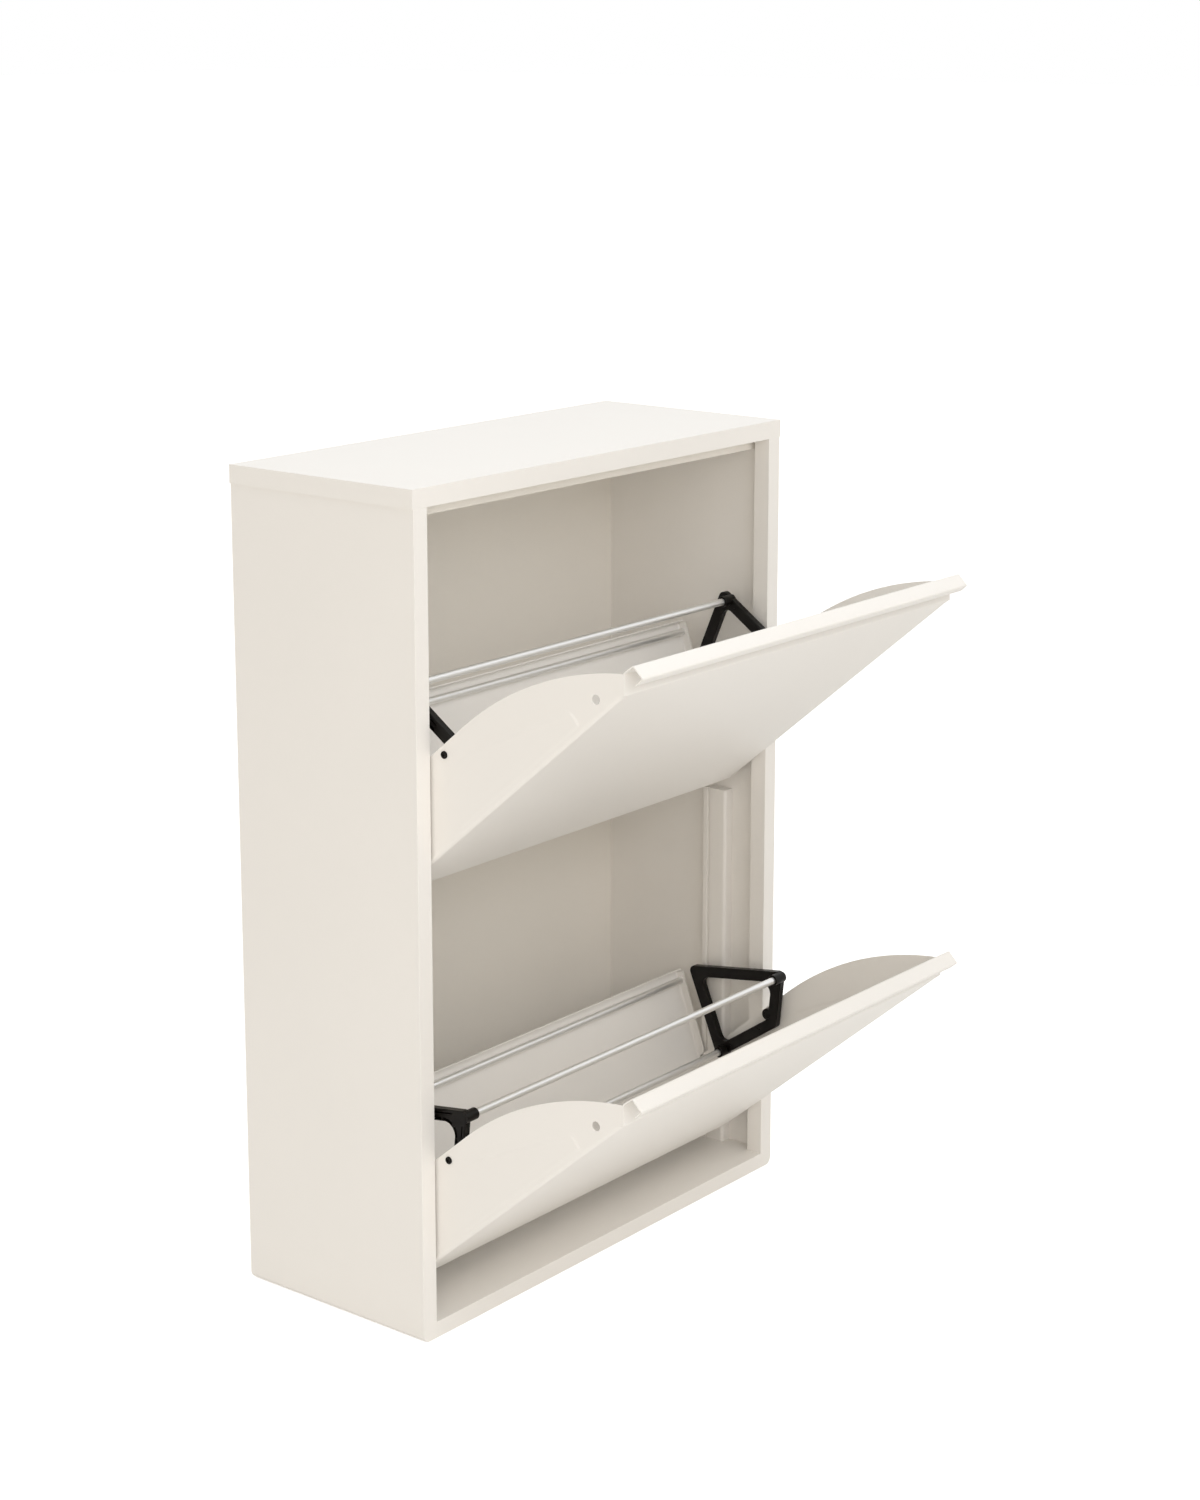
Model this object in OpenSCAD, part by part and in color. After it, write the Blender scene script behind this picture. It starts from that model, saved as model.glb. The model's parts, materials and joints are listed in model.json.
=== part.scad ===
// Slim shoe cabinet with two tilting pockets, one above the other.
// Frame: origin on the floor under the middle of the carcass, +X to the right,
// +Y to the back, +Z up. The carcass front is at -cabinet_d / 2.
// The pockets are drawn closed about their hinge line and then swung open.

/* [Carcass] */
// Width over the top panel
cabinet_w = 620; // [560:5:700]
// Depth of the carcass, top panel included
cabinet_d = 255; // [240:5:300]
// Height to the upper face of the top panel
cabinet_h = 900; // [890:5:940]
// Thickness of the top panel
top_t = 20; // [16:1:25]
// How far the top panel stands past each side
top_overhang = 1.5; // [0:0.5:4]
// Thickness of the bottom board
bottom_t = 18; // [15:1:22]
// Width and depth of the post along each side's front edge
post = 20; // [18:1:24]
// Thickness of a side panel behind its post
side_t = 6; // [5:1:8]
// Radius of the lower outer edge of each side
side_foot_r = 9; // [4:1:14]
// Thickness of the back panel
back_t = 4; // [3:1:5]
// Distance from the rear of the sides to the rear face of the back panel
back_inset = 10.5; // [8:0.5:14]

/* [Pockets] */
// Height of the lower hinge line
hinge_z = 90; // [86:1:94]
// Height from one hinge line to the next
hinge_pitch = 430; // [429:1:432]
// Distance of the hinge line behind the pocket's front face
hinge_inset = 9; // [8:0.5:10]
// Opening angle of a pocket
open_angle = 49.5; // [40:0.5:49.5]
// Gap between a pocket and the post beside it
side_gap = 2.5; // [2.2:0.1:4]
// Thickness of the pocket's sheet metal
sheet = 1.2; // [1:0.1:1.5]
// Height of the pocket's top edge above the hinge line
pocket_top = 357; // [350:1:357]
// Distance of the side plate's rear edge behind the hinge line
plate_reach = 76; // [74:1:80]
// Slope of the pocket floor when the pocket is shut
floor_slope = 21; // [18:1:24]
// Length of the pocket floor
floor_len = 179; // [160:1:185]

/* [Dividers] */
// Diameter of the divider rods and of the toe rod
rod_d = 8; // [7:0.5:9]
// Thickness of a divider bracket
bracket_t = 9; // [8:0.5:10]
// Width of the bracket's bars
bar_w = 13; // [12:0.5:15]
// Depth of the channel in a bracket's outer face
channel_depth = 6; // [4:0.5:6]
// Direction of the lower divider with its pocket shut
lower_divider_angle = -90; // [-90:1:-60]
// Direction of the upper divider with its pocket shut
upper_divider_angle = -9; // [-20:0.5:0]

/* [Hidden] */
$fn = 48;

eps = 0.5;
front_y = -cabinet_d / 2;
rear_y = cabinet_d / 2;
side_h = cabinet_h - top_t;
side_x = cabinet_w / 2 - top_overhang;
skin_x = side_x - side_t;
post_x = side_x - post;
post_rear_y = front_y + post;
back_rear_y = rear_y - back_inset;
back_front_y = back_rear_y - back_t;
hinge_y = front_y + hinge_inset;
upper_hinge_z = hinge_z + hinge_pitch;

// Carcass details
back_lift = 2;
batten_w = 14;
rail_t = 15;
rail_h = 45;
front_rail_d = 18;
front_rail_h = 14;
front_rail_y = front_y + 24.5;
stile_y = front_y + 57;
stile_d = 32.5;
stile_top = 457;
stile_strip = 6.5;
stile_groove = 3;
stile_groove_depth = 2;
stile_front_r = 4;
dowel_r = 4;
dowel_inset = 8;
dowel_side_z = 9;
top_dowel_depth = 12;
side_dowel_depth = 18;
wall_hole_r = 3;
wall_hole_spacing = 400;
wall_hole_z = side_h - 24;
screw_head_r = 3.5;
screw_head_t = 1.2;
screw_r = 1.75;
screw_bite = 12;
back_screw_count = 4;
back_screw_pitch = 160;
back_screw_drop = 10;
slack = 0.1;

// Hinge details
pin_r = 3;
pin_end = post_x + 11.5;
pin_head_t = 1.5;
bush_r = 5;
bush_clear = 0.06;
bush_depth = 13.5;
bush_flange_r = 8;
bush_flange_t = 1;
stud_r = 5;
stud_radius = 43.1;
stud_y = post_rear_y - hinge_y + stud_r + slack;
stud_z = sqrt(stud_radius * stud_radius - stud_y * stud_y);
stud_end = post_x + 9;
shank_r = 2.5;
rivet_head_r = 4.5;
rivet_head_t = 1.2;

// Pocket section, as (y back, z up) from the hinge line
half = sheet / 2;
pocket_x = post_x - side_gap;
plate_in_x = pocket_x - sheet;
face_y = -hinge_inset + half;
face_top_z = 327.5;
lip_flange_z = 346;
lip_rear = [7.5, pocket_top - 1.9];
recess_rear = [8.4, 341.3];
bend_c = [5, -56];
bend_r = 13.4;
floor_start = bend_c + bend_r * [sin(floor_slope), -cos(floor_slope)];
floor_dir = [cos(floor_slope), sin(floor_slope)];
floor_up = [-sin(floor_slope), cos(floor_slope)];
floor_end = floor_start + floor_len * floor_dir;
edge_turn = 8;
end_flange = 12;
toe_rod_s = floor_len - 13;
toe_rod_c = floor_start + toe_rod_s * floor_dir + (rod_d / 2 + half) * floor_up;
arc_z = 130;
bend_turn = 90 + floor_slope;
bend_steps = 10;
finger_hole = [7, 295.5];
finger_hole_r = 5;

// Divider pivot and bracket outline, with x along the arm and y towards the loop
pivot = [67.5, 92];
pivot_r = 3;
pivot_clear = 0.05;
bracket_gap = 2.8;
bracket_out_x = plate_in_x - bracket_gap;
bracket_in_x = bracket_out_x - bracket_t;
spacer_r = 7;
nut_r = 5;
nut_t = 3;
head_r = 4;
head_t = 1.7;
loop = [[0.5, -11.5], [92, -2], [61.5, 92.5], [-41.5, 28.5]];
loop_steps = 6;
outer_r = [for (c = loop) bar_w / 2];
window_r = [12, 8, 9, 13];
rear_rod_at = [85.5, -4];
front_rod_at = [-43, 26.5];
boss_r = 7;
collar_r = 6.3;
collar_len = 11;
wall = 2;
rib_drop = 1;
rod_seat = 6;

// Colours
painted = "#F3EFE8";
shade = "#DDD5C8";
plastic = "#26211D";
steel = "#D8D8D6";
nylon = "#E8E4DA";
timber = "#C9A97A";

// Point on a circle about c
function on_arc(c, r, a) = c + r * [cos(a), sin(a)];

// Middle of the bent sheet, from the lip's flange down the front and along the floor to
// its turned-up rear edge; the front and the floor meet at point fold_i
sheet_path = concat(
  [[face_y, lip_flange_z], [face_y, pocket_top - half], lip_rear, recess_rear,
   [face_y, face_top_z]],
  [for (k = [0 : bend_steps]) on_arc(bend_c, bend_r, 180 + bend_turn * k / bend_steps)],
  [floor_end, floor_end + edge_turn * floor_up]);
sheet_last = len(sheet_path) - 1;
fold_i = sheet_last - 2;
recess_i = 3;

// Left normal of the sheet's path at point i, mitred where it turns
function left_of(d) = [-d[1], d[0]];
function step_left(i) =
  let (d = sheet_path[i + 1] - sheet_path[i]) left_of(d / norm(d));
function mitre(i) =
  i == 0 ? step_left(0) :
  i == sheet_last ? step_left(i - 1) :
  let (a = step_left(i - 1), b = step_left(i)) (a + b) / (1 + a * b);

// Outline of the sheet between two points of its path
function strip(first, last) = concat(
  [for (i = [first : last]) sheet_path[i] + mitre(i) * half],
  [for (i = [last : -1 : first]) sheet_path[i] - mitre(i) * half]);

// Outline of a side plate: inside the front sheet, along the floor, up the rear edge,
// then over in one arc to the rear corner of the finger recess
front_inside = [for (i = [recess_i : fold_i]) sheet_path[i] + mitre(i) * half];
plate_top = front_inside[0];
floor_inside = front_inside[fold_i - recess_i];
plate_floor = floor_inside + (plate_reach - floor_inside[0]) / floor_dir[0] * floor_dir;
arc_run = plate_reach - plate_top[0];
arc_rise = plate_top[1] - arc_z;
arc_r = (arc_run ^ 2 + arc_rise ^ 2) / (2 * arc_run);
arc_end = asin(arc_rise / arc_r);
arc_steps = 12;
plate_path = concat(
  [for (i = [1 : len(front_inside) - 1]) front_inside[i]],
  [plate_floor],
  [for (k = [0 : arc_steps])
    on_arc([plate_reach - arc_r, arc_z], arc_r, arc_end * k / arc_steps)]);

// Extrudes a (y, z) outline from x0 to x1
module across(x0, x1)
  translate([x0, 0, 0]) rotate([90, 0, 90]) linear_extrude(x1 - x0) children();

// Places a piece made for the right on the given side, 1 right and -1 left
module sided(side)
  if (side > 0) children();
  else mirror([1, 0, 0]) children();

// A round bar along X between x0 and x1, at a (y, z) point
module bar_x(at, r, x0, x1)
  translate([x0, at[0], at[1]]) rotate([0, 90, 0]) cylinder(r = r, h = x1 - x0);

// A round bar along Y between y0 and y1, at an (x, z) point
module bar_y(at, r, y0, y1)
  translate([at[0], y1, at[1]]) rotate([90, 0, 0]) cylinder(r = r, h = y1 - y0);

// Moves a pocket piece from its shut position to its open one
module hung(level_z)
  translate([0, hinge_y, level_z]) rotate([open_angle, 0, 0]) children();

// ---- Carcass ----

module dowels()
  for (s = [-1, 1]) sided(s) {
    for (y = [post_rear_y - post / 2, rear_y - back_inset / 2])
      translate([post_x + dowel_inset, y, side_h - side_dowel_depth])
        cylinder(r = dowel_r, h = side_dowel_depth + top_dowel_depth);
    bar_x([post_rear_y - post / 2, dowel_side_z], dowel_r,
          post_x - side_dowel_depth, post_x + top_dowel_depth);
  }

module wall_holes()
  for (s = [-1, 1])
    bar_y([s * wall_hole_spacing / 2, wall_hole_z], wall_hole_r,
          back_front_y - rail_t - eps, back_rear_y + eps);

module top_panel() color(painted)
  difference() {
    translate([-cabinet_w / 2, front_y, side_h]) cube([cabinet_w, cabinet_d, top_t]);
    dowels();
  }

module side_blank() {
  translate([skin_x, front_y, 0]) cube([side_t, cabinet_d, side_h]);
  translate([post_x, front_y, 0]) cube([post, post, side_h]);
}

module foot_round()
  translate([side_x - side_foot_r, front_y - eps, -eps])
    difference() {
      cube([side_foot_r + eps, cabinet_d + 2 * eps, side_foot_r + eps]);
      translate([0, -eps, side_foot_r + eps]) rotate([-90, 0, 0])
        cylinder(r = side_foot_r, h = cabinet_d + 4 * eps);
    }

module hinge_sockets()
  for (z = [hinge_z, upper_hinge_z])
    bar_x([hinge_y, z], bush_r, post_x - eps, post_x + bush_depth);

module side_panel(s) color(painted)
  sided(s) difference() {
    side_blank();
    foot_round();
    hinge_sockets();
    dowels();
  }

module bottom_board() color(shade)
  difference() {
    union() {
      translate([-post_x, front_y, 0]) cube([2 * post_x, post, bottom_t]);
      translate([-skin_x, post_rear_y, 0])
        cube([2 * skin_x, back_front_y - post_rear_y, bottom_t]);
    }
    dowels();
    back_screw_shanks();
  }

// The back panel's screws go into the bottom board and the wall rail
module back_screw_row(r, y0, y1)
  for (z = [bottom_t / 2, side_h - back_screw_drop], k = [0 : back_screw_count - 1])
    bar_y([(k - (back_screw_count - 1) / 2) * back_screw_pitch, z], r, y0, y1);

module back_screw_shanks()
  back_screw_row(screw_r, back_front_y - screw_bite, back_rear_y);

module back_panel() color(shade)
  difference() {
    translate([-skin_x, back_front_y, back_lift])
      cube([2 * skin_x, back_t, side_h - back_lift]);
    wall_holes();
    back_screw_shanks();
  }

module rear_batten(s) color(shade)
  difference() {
    sided(s) translate([skin_x - batten_w, back_rear_y, 0])
      cube([batten_w, back_inset, side_h]);
    dowels();
  }

module back_panel_screws() color(steel) {
  back_screw_shanks();
  back_screw_row(screw_head_r, back_rear_y, back_rear_y + screw_head_t);
}

module wall_rail() color(shade)
  difference() {
    translate([-skin_x, back_front_y - rail_t, side_h - rail_h])
      cube([2 * skin_x, rail_t, rail_h]);
    wall_holes();
    back_screw_shanks();
  }

module top_front_rail() color(shade)
  translate([-skin_x, front_rail_y, side_h - front_rail_h])
    cube([2 * skin_x, front_rail_d, front_rail_h]);

// Upright behind the lower pocket, with a rounded front edge and a grooved rear strip
module mid_stile(s) color(painted)
  sided(s) difference() {
    union() {
      translate([post_x, stile_y + stile_front_r, bottom_t])
        cube([skin_x - post_x, stile_d - stile_front_r, stile_top - bottom_t]);
      translate([post_x + stile_front_r, stile_y, bottom_t])
        cube([skin_x - post_x - stile_front_r, stile_d, stile_top - bottom_t]);
      translate([post_x + stile_front_r, stile_y + stile_front_r, bottom_t])
        cylinder(r = stile_front_r, h = stile_top - bottom_t);
    }
    translate([post_x - eps, stile_y + stile_d - stile_strip - stile_groove, bottom_t - eps])
      cube([stile_groove_depth + eps, stile_groove, stile_top - bottom_t + 2 * eps]);
  }

module corner_dowels() color(timber) dowels();

module hinge_bushes() color(nylon)
  for (s = [-1, 1], z = [hinge_z, upper_hinge_z]) sided(s)
    difference() {
      union() {
        bar_x([hinge_y, z], bush_r, post_x, post_x + bush_depth);
        bar_x([hinge_y, z], bush_flange_r, post_x - bush_flange_t, post_x);
      }
      bar_x([hinge_y, z], pin_r + bush_clear, post_x - bush_flange_t - eps, pin_end + eps);
    }

// ---- Pockets, drawn shut about the hinge line ----

module front_panel() color(painted)
  across(-pocket_x, pocket_x) polygon(strip(0, fold_i));

module floor_plate() across(-pocket_x, pocket_x) polygon(strip(fold_i, sheet_last));

// The floor's end flanges, which hold the toe rod
module floor_flange(s)
  sided(s) across(plate_in_x, pocket_x)
    polygon([plate_floor, floor_end, floor_end + end_flange * floor_up,
             plate_floor + [0, end_flange / floor_dir[0]]]);

module floor_sheet() color(painted)
  difference() {
    union() {
      floor_plate();
      for (s = [-1, 1]) floor_flange(s);
    }
    toe_rod_shape();
  }

module toe_rod_shape() bar_x(toe_rod_c, rod_d / 2, -pocket_x, pocket_x);

module toe_rod() color(steel) toe_rod_shape();

module side_plate(s) color(painted)
  sided(s) difference() {
    across(plate_in_x, pocket_x) polygon(plate_path);
    bar_x(finger_hole, finger_hole_r, plate_in_x - eps, pocket_x + eps);
    bar_x(pivot, pivot_r + pivot_clear, plate_in_x - eps, pocket_x + eps);
    bar_x([0, 0], pin_r, plate_in_x - eps, pocket_x + eps);
    for (z = [-stud_z, stud_z])
      bar_x(stud_at(z), shank_r, plate_in_x - eps, pocket_x + eps);
  }

// The upper stud is set back so that it meets the post when the pocket is open
function turned(p, a) = [p[0] * cos(a) - p[1] * sin(a), p[0] * sin(a) + p[1] * cos(a)];
function stud_at(z) = z > 0 ? turned([stud_y, z], -open_angle) : [stud_y, z];

module hinge_pins() color(steel)
  for (s = [-1, 1]) sided(s) {
    bar_x([0, 0], pin_r, plate_in_x, pin_end);
    bar_x([0, 0], 2 * pin_r, plate_in_x - pin_head_t, plate_in_x);
  }

module stop_studs() color(nylon)
  for (s = [-1, 1], z = [-stud_z, stud_z]) sided(s) {
    bar_x(stud_at(z), stud_r, pocket_x, stud_end);
    bar_x(stud_at(z), shank_r, plate_in_x, pocket_x);
    bar_x(stud_at(z), rivet_head_r, plate_in_x - rivet_head_t, plate_in_x);
  }

// ---- Dividers ----

module pivot_screws() color(plastic)
  for (s = [-1, 1]) sided(s) {
    bar_x(pivot, pivot_r, bracket_in_x, pocket_x);
    bar_x(pivot, head_r, pocket_x, pocket_x + head_t);
  }

module pivot_nuts() color(plastic)
  for (s = [-1, 1]) sided(s) difference() {
    bar_x(pivot, nut_r, bracket_in_x, bracket_in_x + nut_t);
    bar_x(pivot, pivot_r, bracket_in_x - eps, bracket_in_x + nut_t + eps);
  }

module pivot_spacers() color(nylon)
  for (s = [-1, 1]) sided(s) difference() {
    bar_x(pivot, spacer_r, bracket_out_x + slack, plate_in_x);
    bar_x(pivot, pivot_r + pivot_clear, bracket_out_x, plate_in_x + eps);
  }

// Corner i of the loop, moved inwards by d
function corner(i) = loop[(i + len(loop)) % len(loop)];
function side_dir(i) = (corner(i + 1) - corner(i)) / norm(corner(i + 1) - corner(i));
function inset_corner(i, d) =
  let (a = left_of(side_dir(i - 1)), b = left_of(side_dir(i)))
  corner(i) + d * (a + b) / (1 + a * b);

// The loop moved inwards by d, with a radius for each corner from the list r
function side_angle(i) = let (d = side_dir(i)) atan2(d[1], d[0]);
function turn(i) = (side_angle(i) - side_angle(i - 1) + 720) % 360;
function grown(r, d) = [for (v = r) v + d];
function rounded_loop(d, r) = [
  for (i = [0 : len(loop) - 1], k = [0 : loop_steps])
    on_arc(inset_corner(i, d + r[i]), r[i],
           side_angle(i - 1) - 90 + turn(i) * k / loop_steps)];

// Right bracket about its pivot: a closed loop of channel section, open to the outside
module bracket_shape()
  difference() {
    union() {
      difference() {
        across(bracket_in_x, bracket_out_x) difference() {
          polygon(rounded_loop(-bar_w / 2, outer_r));
          polygon(rounded_loop(bar_w / 2, window_r));
        }
        across(bracket_out_x - channel_depth, bracket_out_x + eps) difference() {
          polygon(rounded_loop(wall - bar_w / 2, grown(outer_r, -wall)));
          polygon(rounded_loop(bar_w / 2 - wall, grown(window_r, wall)));
        }
      }
      bar_x([0, 0], boss_r, bracket_in_x, bracket_out_x);
      for (c = [rear_rod_at, front_rod_at])
        bar_x(c, collar_r, bracket_in_x - collar_len, bracket_out_x);
      for (i = [1 : 3], f = [1 / 3, 2 / 3]) channel_rib(i, f);
    }
    bar_x([0, 0], pivot_r + pivot_clear, bracket_in_x - eps, bracket_out_x + eps);
    bar_x([0, 0], nut_r + slack, bracket_in_x - eps, bracket_in_x + nut_t + slack);
    for (c = [rear_rod_at, front_rod_at])
      bar_x(c, rod_d / 2, bracket_in_x - collar_len - eps, bracket_in_x + rod_seat);
  }

// A thin wall across the channel, a fraction f of the way along side i
module channel_rib(i, f) {
  c = corner(i) + f * (corner(i + 1) - corner(i));
  translate([bracket_out_x - channel_depth - eps, c[0], c[1]])
    rotate([side_angle(i), 0, 0])
      translate([0, -wall / 2, -bar_w / 2 + wall / 2])
        cube([channel_depth - rib_drop, wall, bar_w - wall]);
}

// Places a divider piece on its pivot; turned over, its loop hangs the other way
module on_pivot(angle, over)
  translate([0, pivot[0], pivot[1]]) rotate([angle, 0, 0])
    if (over) mirror([0, 0, 1]) children();
    else children();

module bracket(s) color(plastic) sided(s) bracket_shape();

module divider_rod(at) color(steel)
  bar_x(at, rod_d / 2, -bracket_in_x - rod_seat, bracket_in_x + rod_seat);

module on_upper() hung(upper_hinge_z) on_pivot(upper_divider_angle, true) children();
module on_lower() hung(hinge_z) on_pivot(lower_divider_angle, false) children();

top_panel();
side_panel(-1);  // left_side_panel
side_panel(1);  // right_side_panel
bottom_board();
back_panel();
rear_batten(-1);  // left_rear_batten
rear_batten(1);  // right_rear_batten
wall_rail();
top_front_rail();
mid_stile(-1);  // left_mid_stile
mid_stile(1);  // right_mid_stile
corner_dowels();
back_panel_screws();
hinge_bushes();

hung(upper_hinge_z) front_panel();  // upper_front_panel
hung(upper_hinge_z) side_plate(-1);  // upper_left_side_plate
hung(upper_hinge_z) side_plate(1);  // upper_right_side_plate
hung(upper_hinge_z) floor_sheet();  // upper_floor_sheet
hung(upper_hinge_z) toe_rod();  // upper_toe_rod
hung(upper_hinge_z) hinge_pins();  // upper_hinge_pins
hung(upper_hinge_z) stop_studs();  // upper_stop_studs
hung(upper_hinge_z) pivot_screws();  // upper_pivot_screws
hung(upper_hinge_z) pivot_nuts();  // upper_pivot_nuts
hung(upper_hinge_z) pivot_spacers();  // upper_pivot_spacers
on_upper() bracket(-1);  // upper_left_bracket
on_upper() bracket(1);  // upper_right_bracket
on_upper() divider_rod(front_rod_at);  // upper_front_rod
on_upper() divider_rod(rear_rod_at);  // upper_rear_rod

hung(hinge_z) front_panel();  // lower_front_panel
hung(hinge_z) side_plate(-1);  // lower_left_side_plate
hung(hinge_z) side_plate(1);  // lower_right_side_plate
hung(hinge_z) floor_sheet();  // lower_floor_sheet
hung(hinge_z) toe_rod();  // lower_toe_rod
hung(hinge_z) hinge_pins();  // lower_hinge_pins
hung(hinge_z) stop_studs();  // lower_stop_studs
hung(hinge_z) pivot_screws();  // lower_pivot_screws
hung(hinge_z) pivot_nuts();  // lower_pivot_nuts
hung(hinge_z) pivot_spacers();  // lower_pivot_spacers
on_lower() bracket(-1);  // lower_left_bracket
on_lower() bracket(1);  // lower_right_bracket
on_lower() divider_rod(front_rod_at);  // lower_front_rod
on_lower() divider_rod(rear_rod_at);  // lower_rear_rod
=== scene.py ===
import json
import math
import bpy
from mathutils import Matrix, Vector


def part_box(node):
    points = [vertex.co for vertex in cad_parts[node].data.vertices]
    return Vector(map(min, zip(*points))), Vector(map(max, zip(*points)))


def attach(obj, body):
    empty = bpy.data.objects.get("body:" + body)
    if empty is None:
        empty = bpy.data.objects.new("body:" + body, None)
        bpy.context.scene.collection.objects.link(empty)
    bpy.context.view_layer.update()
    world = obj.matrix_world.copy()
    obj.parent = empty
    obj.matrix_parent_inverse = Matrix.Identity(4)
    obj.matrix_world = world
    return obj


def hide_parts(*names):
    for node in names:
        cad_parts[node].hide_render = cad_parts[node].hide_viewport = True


bl_info = {
    "name": "Tilting Shoe Cabinet",
    "version": (1, 0, 0),
    "blender": (4, 5, 0),
    "location": "View3D > Sidebar > Shoe Cabinet",
    "description": "Builds the finished look of a two-pocket shoe cabinet around its packed frame",
    "category": "Object",
}

import bmesh
import bpy
from bpy.props import FloatProperty, FloatVectorProperty, PointerProperty
from mathutils import Matrix, Vector
from mathutils.geometry import tessellate_polygon

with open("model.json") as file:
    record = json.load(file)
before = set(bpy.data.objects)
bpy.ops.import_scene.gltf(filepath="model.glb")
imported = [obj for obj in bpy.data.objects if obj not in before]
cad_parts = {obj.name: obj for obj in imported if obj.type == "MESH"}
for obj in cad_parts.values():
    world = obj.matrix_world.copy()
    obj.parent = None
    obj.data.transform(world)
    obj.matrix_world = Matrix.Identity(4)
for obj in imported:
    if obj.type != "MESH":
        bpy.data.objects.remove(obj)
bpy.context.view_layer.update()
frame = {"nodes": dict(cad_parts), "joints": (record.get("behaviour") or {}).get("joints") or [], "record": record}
JOINTS = {joint["name"]: joint for joint in frame["joints"]}
LEVELS = ("upper", "lower")
SIDES = {"left": -1, "right": 1}
MM = 0.001


# ------------------------------ settings


def length(name, default, description):
    """A size in metres for a property group."""
    return FloatProperty(
        name=name, description=description, default=default, min=0, unit="LENGTH", precision=5
    )


def paint(name, default, description):
    """A linear colour for a property group."""
    return FloatVectorProperty(
        name=name, description=description, default=default, size=3, min=0, max=1, subtype="COLOR"
    )


def number(name, default, description, unit="NONE"):
    """A plain number for a property group."""
    return FloatProperty(name=name, description=description, default=default, unit=unit)


class ShoeCabinetCarcass(bpy.types.PropertyGroup):
    edge_round: length("Edge Rounding", 1.2 * MM, "Radius of the lacquered edges of the boards")
    inner_round: length("Inner Rounding", 0.5 * MM, "Radius of the edges of the inner boards")
    screw_head: length("Screw Head", 1.2 * MM, "Height of the back panel's screw heads")


class ShoeCabinetPocket(bpy.types.PropertyGroup):
    sheet: length("Sheet", 1.2 * MM, "Thickness of the sheet metal")
    face_inset: length("Face Inset", 9 * MM, "Distance from the hinge line to the front face")
    face_top: length("Face Top", 327.5 * MM, "Height of the front face's top edge above the hinge")
    lip_flange: length("Lip Flange", 346 * MM, "Height of the lip flange's lower edge")
    top: length("Top", 357 * MM, "Height of the lip above the hinge line")
    corner_round: length("Corner Rounding", 4 * MM, "Radius between the front face and its sides")
    bend_round: length("Bend Rounding", 13.4 * MM, "Radius of the bend from the face to the floor")
    floor_length: length("Floor Length", 179 * MM, "Length of the pocket's floor")
    floor_slope: FloatProperty(
        name="Floor Slope",
        description="Slope of the floor when the pocket is shut",
        default=math.radians(21),
        subtype="ANGLE",
    )
    edge_turn: length("Edge Turn", 8 * MM, "Height of the floor's turned-up rear edge")
    end_flange: length("End Flange", 12 * MM, "Height of the floor's end flanges")
    plate_reach: length("Plate Reach", 76 * MM, "How far a side plate reaches behind the hinge")
    plate_arc: length("Plate Arc", 130 * MM, "Height at which a side plate starts to curve over")
    press_lift: length("Pressing", 0.9 * MM, "How far the wedge is pressed out of a side plate")
    press_slope: length("Pressing Slope", 4.5 * MM, "Width of the slope round the pressed wedge")


class ShoeCabinetDivider(bpy.types.PropertyGroup):
    bar_width: length("Bar Width", 13 * MM, "Width of a bracket's bars")
    chamfer: length("Chamfer", 0.7 * MM, "Chamfer along the edges of a bracket")
    rim: length("Rim", 1.1 * MM, "Thickness of the wall along the window")
    inner_groove: length("Inner Groove", 2.9 * MM, "Width of the groove along the window")
    outer_groove: length("Outer Groove", 1.5 * MM, "Width of the groove along the outer edge")
    groove_depth: length("Groove Depth", 6 * MM, "Depth of the moulded grooves")
    collar_radius: length("Collar Radius", 6.3 * MM, "Radius of the collars round the rods")
    collar_length: length("Collar Length", 11 * MM, "Length of the collars round the rods")
    boss_radius: length("Boss Radius", 7 * MM, "Radius of the boss round the pivot")


class ShoeCabinetFinish(bpy.types.PropertyGroup):
    lacquer: paint("Lacquer", (0.92, 0.894, 0.852), "White lacquer on the outer boards")
    # The inner boards' own pale lacquer, set paler than the outer lacquer: the extra paleness is painted fill
    # light for the shaded interior
    inner: paint("Inner Boards", (0.955, 0.918, 0.85), "Pale lacquer on the inner boards")
    coating: paint("Powder Coating", (0.92, 0.894, 0.852), "Powder coating of the pockets")
    plastic: paint("Black Plastic", (0.0034, 0.0028, 0.0023), "Moulded brackets and screw caps")
    rod: paint("Rods", (0.90, 0.90, 0.89), "Satin drawn rods")
    nylon: paint("Nylon", (0.78, 0.76, 0.70), "Bushes, spacers and stops")
    zinc: paint("Zinc", (0.62, 0.62, 0.60), "Plated pins and screws")
    beech: paint("Beech", (0.50, 0.33, 0.17), "Dowels")
    floor: paint("Floor", (0.95, 0.945, 0.935), "Pale studio floor")


class ShoeCabinetStudio(bpy.types.PropertyGroup):
    ambient: number("Ambient", 0.61, "Level of the even light")
    tint: paint("Ambient Tint", (1.0, 0.964, 0.90), "Colour of the even light")
    top: number("Top", 33, "Light from straight above", "POWER")
    front: number("Front", 36, "Light from above the front", "POWER")
    side: number("Side", 23, "Light from the left front", "POWER")
    glow: number("Floor Glow", 0.60, "Floor's own light to the camera")
    lens: number("Lens", 69.4, "Focal length", "CAMERA")


GROUPS = {
    "shoe_carcass": ShoeCabinetCarcass,
    "shoe_pocket": ShoeCabinetPocket,
    "shoe_divider": ShoeCabinetDivider,
    "shoe_finish": ShoeCabinetFinish,
    "shoe_studio": ShoeCabinetStudio,
}


# ------------------------------ shader maths


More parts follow.
